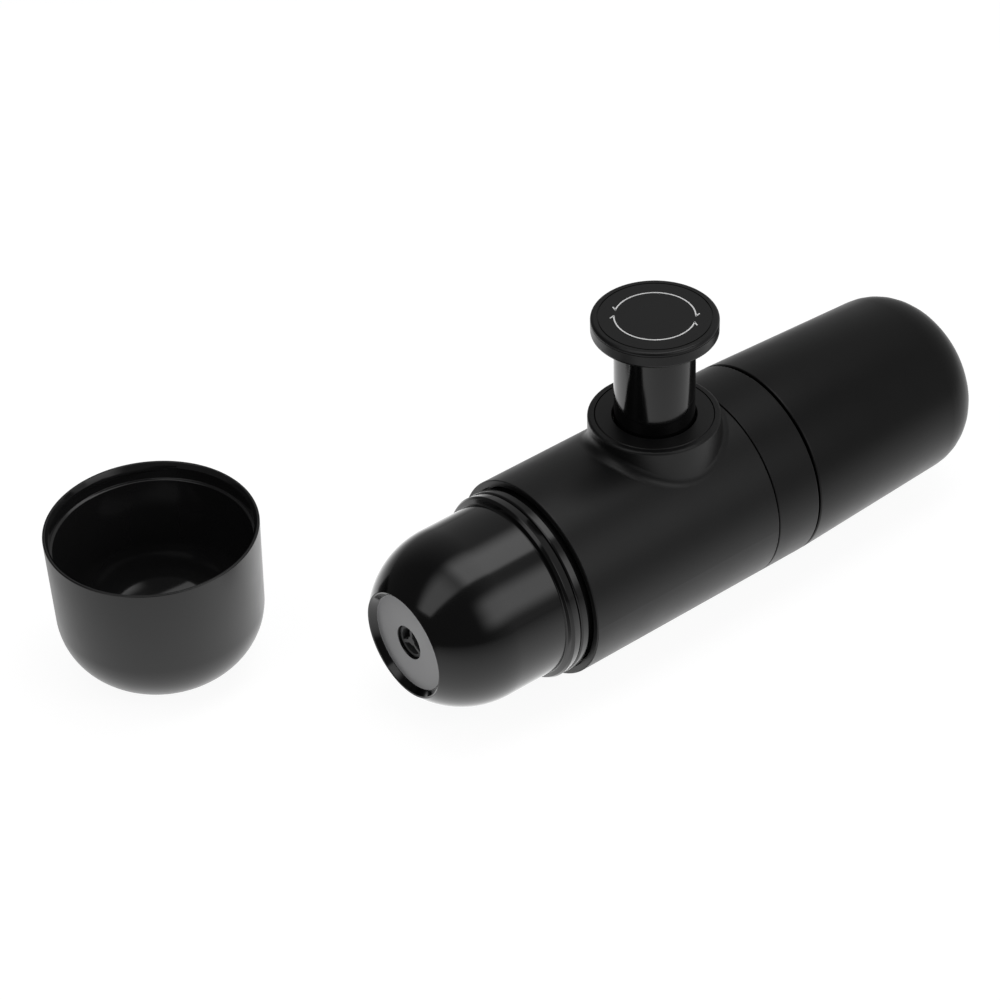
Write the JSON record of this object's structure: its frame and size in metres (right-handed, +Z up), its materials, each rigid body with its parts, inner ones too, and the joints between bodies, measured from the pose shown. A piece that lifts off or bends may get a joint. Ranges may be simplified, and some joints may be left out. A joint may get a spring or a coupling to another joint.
{
  "type": "handheld manual espresso maker",
  "caption": "Hand-pumped travel espresso maker lying on its side, pump piston out, coffee basket and dome head at one end, water tank at the other, drinking cup beside it.",
  "frame": {"origin": "on the ground, under the middle of the bounding box of the maker and its cup together", "axes": "+Z up, along the pump piston; +X along the body axis from the outlet head to the water tank; +Y towards the cup"},
  "size_m": [0.2657, 0.1303, 0.0987],
  "materials": {
    "casing": "satin black, fine moulded grain",
    "band": "satin black",
    "boss_ring": "satin black",
    "knob": "matte black with white printed turning marks",
    "piston": "polished black",
    "dome": "polished black",
    "neck": "polished black",
    "tank": "satin black",
    "cup": "satin black outside, glossier inside",
    "basket": "satin black",
    "bearing": "off-white acetal",
    "chassis": "die-cast, bead-blasted",
    "seal": "black silicone",
    "steel": "turned",
    "spring_steel": "drawn wire",
    "sieve": "etched sheet",
    "brass": "turned"
  },
  "bodies": {
    "casing": {"upper_shell": "casing", "lower_shell": "casing", "rear_collar": "band", "boss_ring": "boss_ring", "guide_bush": "bearing", "pump_housing": "chassis", "housing_screws": "steel", "pump_barrel": "steel", "pump_spring": "spring_steel", "inlet_tube": "bearing", "inlet_valve": "seal", "inlet_strainer": "sieve", "valve_seat": "brass", "valve_spring": "spring_steel", "valve_cap": "brass", "brew_collar": "neck", "group_gasket": "seal", "shower_plate": "sieve", "shower_screw": "steel"},
    "plunger": {"spring_washer": "bearing", "piston_seal": "seal"},
    "knob": {"piston_tube": "piston", "plunger_rod": "bearing", "knob_base": "knob", "knob_screw": "steel", "knob_cap": "knob"},
    "poppet": {"valve_poppet": "brass"},
    "tank_carrier": {"tank_seal": "seal"},
    "tank": {"water_tank": "tank"},
    "head_carrier": {"head_gasket": "seal"},
    "head": {"outlet_head": "dome", "outlet_screen": "sieve", "spout_insert": "seal"},
    "basket": {"filter_basket": "basket", "basket_filter": "sieve"},
    "cup_body": {"cup": "cup"}
  },
  "joints": [
    {"name": "piston_press", "type": "slide", "parent": "casing", "child": "plunger", "axis": [0, 0, -1], "range_m": [0, 0.0278], "stiffness_N_per_m": 300, "springref_m": -0.012, "deforming": ["pump_spring"]},
    {"name": "knob_turn", "type": "hinge", "parent": "plunger", "child": "knob", "pos_m": [0.02345, -0.03515, 0.06], "axis": [0, 0, 1], "range_deg": [0, 60]},
    {"name": "valve_lift", "type": "slide", "parent": "casing", "child": "poppet", "axis": [0, 0, 1], "range_m": [0, 0.0015], "stiffness_N_per_m": 150, "springref_m": -0.006, "deforming": ["valve_spring"]},
    {"name": "tank_pull", "type": "slide", "parent": "casing", "child": "tank_carrier", "axis": [1, 0, 0], "range_m": [0, 0.05]},
    {"name": "tank_turn", "type": "hinge", "parent": "tank_carrier", "child": "tank", "pos_m": [0.064, -0.03515, 0.03], "axis": [1, 0, 0], "range_deg": [0, 360]},
    {"name": "head_pull", "type": "slide", "parent": "casing", "child": "head_carrier", "axis": [-1, 0, 0], "range_m": [0, 0.06]},
    {"name": "head_turn", "type": "hinge", "parent": "head_carrier", "child": "head", "pos_m": [-0.0255, -0.03515, 0.03], "axis": [1, 0, 0], "range_deg": [0, 360]},
    {"name": "basket_follow", "type": "slide", "parent": "casing", "child": "basket", "axis": [-1, 0, 0], "range_m": [0, 0.027]},
    {"name": "cup_lift", "type": "slide", "parent": "casing", "child": "cup_body", "axis": [0, 0, 1], "range_m": [0, 0.06]}
  ],
  "couplings": [
    {"joint": "basket_follow", "follows": "head_pull", "ratio": 0.45}
  ]
}
